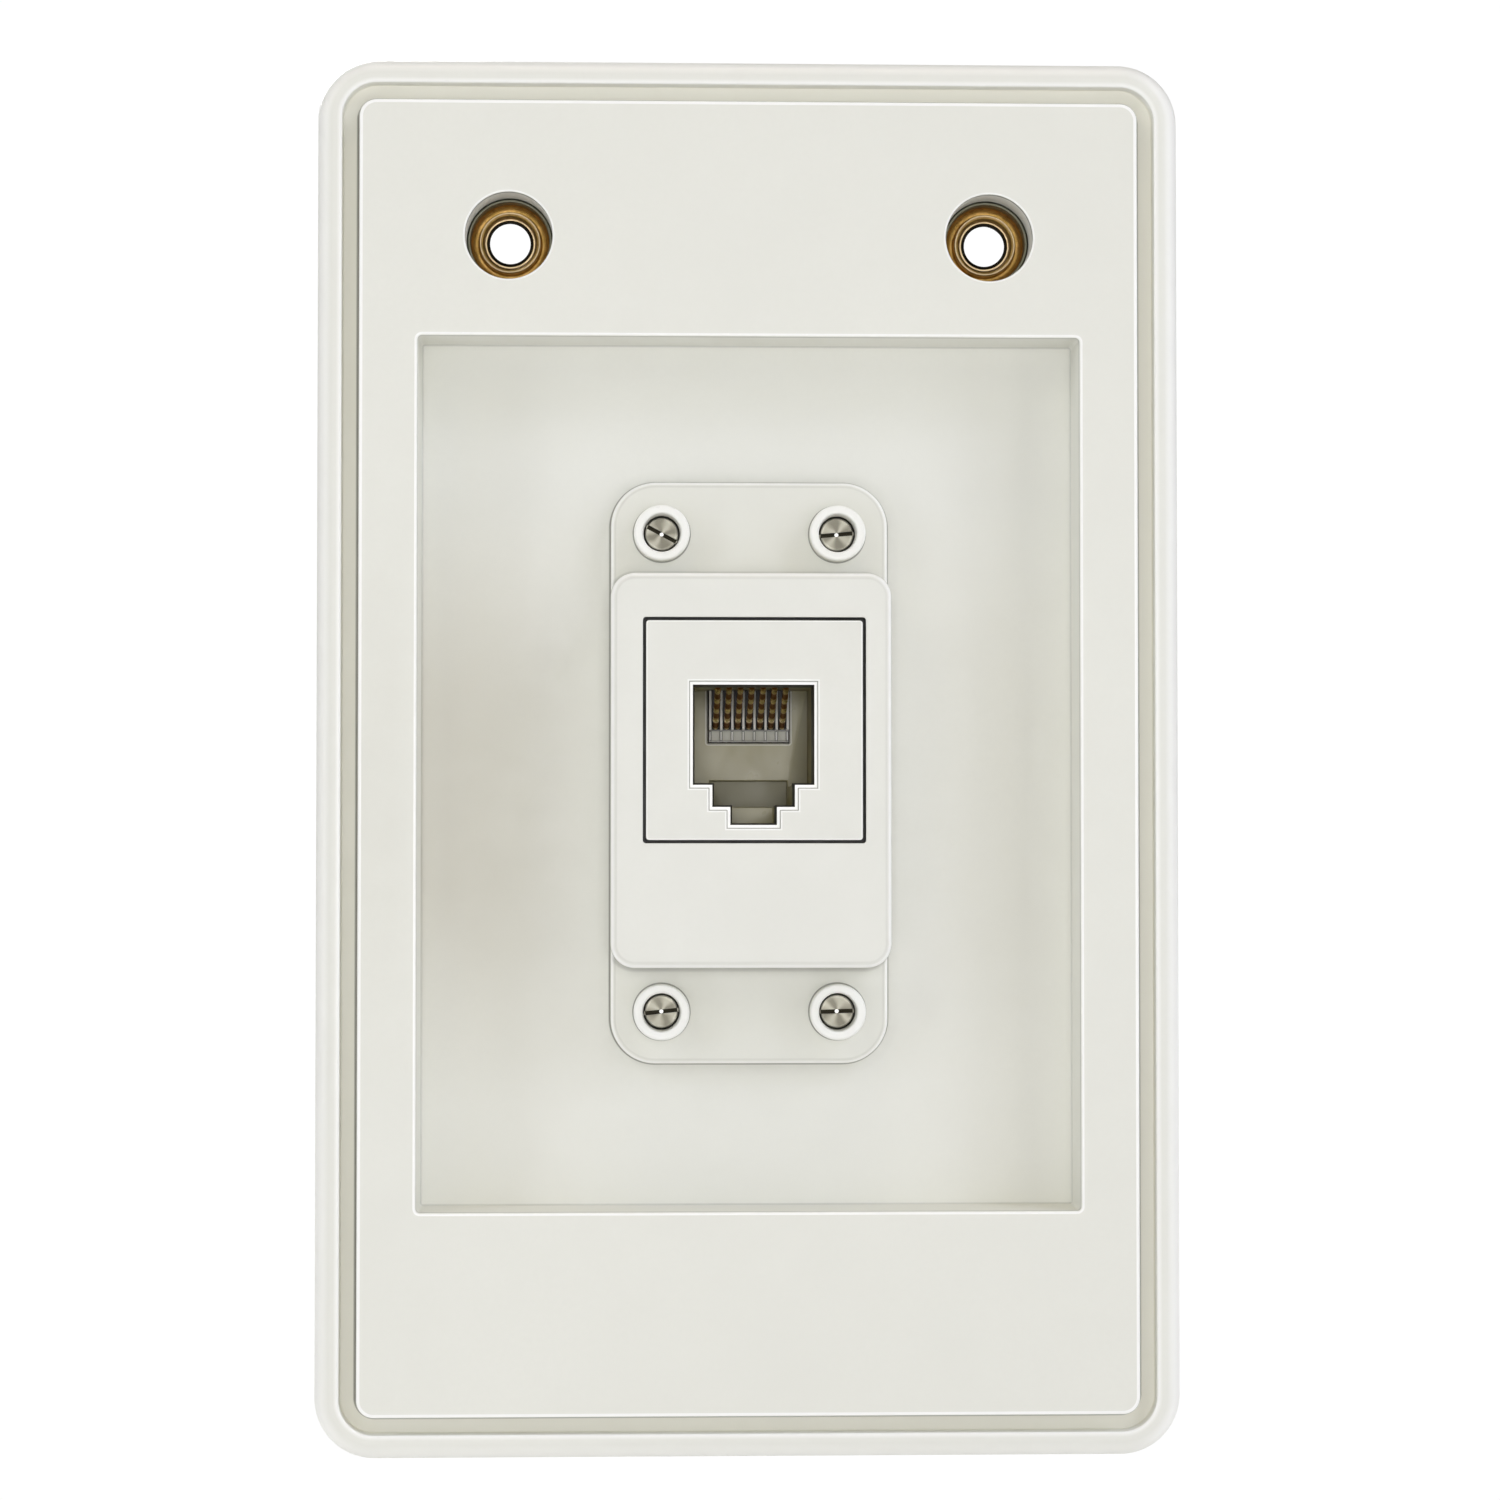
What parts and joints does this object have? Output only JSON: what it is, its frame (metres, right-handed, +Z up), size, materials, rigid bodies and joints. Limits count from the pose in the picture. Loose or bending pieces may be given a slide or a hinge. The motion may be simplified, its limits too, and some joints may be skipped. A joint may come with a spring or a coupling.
{
  "type": "telephone wall socket",
  "caption": "White single-gang wall plate with a sunken pocket, brass-lined mounting holes and a modular telephone jack on a screwed bracket; wiring terminals in a case behind.",
  "frame": {"origin": "middle of the plane where the surround meets the wall", "axes": "+X to the right seen from the front, +Y into the wall, +Z up"},
  "size_m": [0.0706, 0.0263, 0.1142],
  "materials": {
    "shell_white": "satin moulded plastic, warm white",
    "panel_white": "satin moulded plastic, warm white",
    "ferrule_brass": "turned brass, darkened",
    "bracket_white": "satin moulded plastic, warm white",
    "screw_steel": "turned plated steel",
    "block_white": "satin moulded plastic, warm white",
    "insert_white": "satin moulded plastic, warm white",
    "jack_taupe": "moulded plastic, grey taupe",
    "comb_ivory": "moulded plastic, pale grey",
    "contact_gold": "gold-plated spring wire",
    "board_green": "solder-masked laminate",
    "terminal_plastic": "moulded plastic, green",
    "clamp_metal": "tinned metal",
    "case_white": "moulded plastic, white"
  },
  "bodies": {
    "root": {"surround_frame": "shell_white", "front_panel": "panel_white", "ferrule_left": "ferrule_brass", "ferrule_right": "ferrule_brass", "bracket_plate": "bracket_white", "bracket_screws": "screw_steel", "jack_cover": "block_white", "jack_insert": "insert_white", "jack_module": "jack_taupe", "contact_carrier": "comb_ivory", "contact_1": "contact_gold", "contact_2": "contact_gold", "contact_3": "contact_gold", "contact_4": "contact_gold", "contact_5": "contact_gold", "contact_6": "contact_gold", "contact_7": "contact_gold", "circuit_board": "board_green", "terminal_block": "terminal_plastic", "terminal_clamps": "clamp_metal", "terminal_screws": "screw_steel", "rear_housing": "case_white", "rear_cover": "case_white", "rear_cover_screws": "screw_steel"}
  },
  "joints": []
}
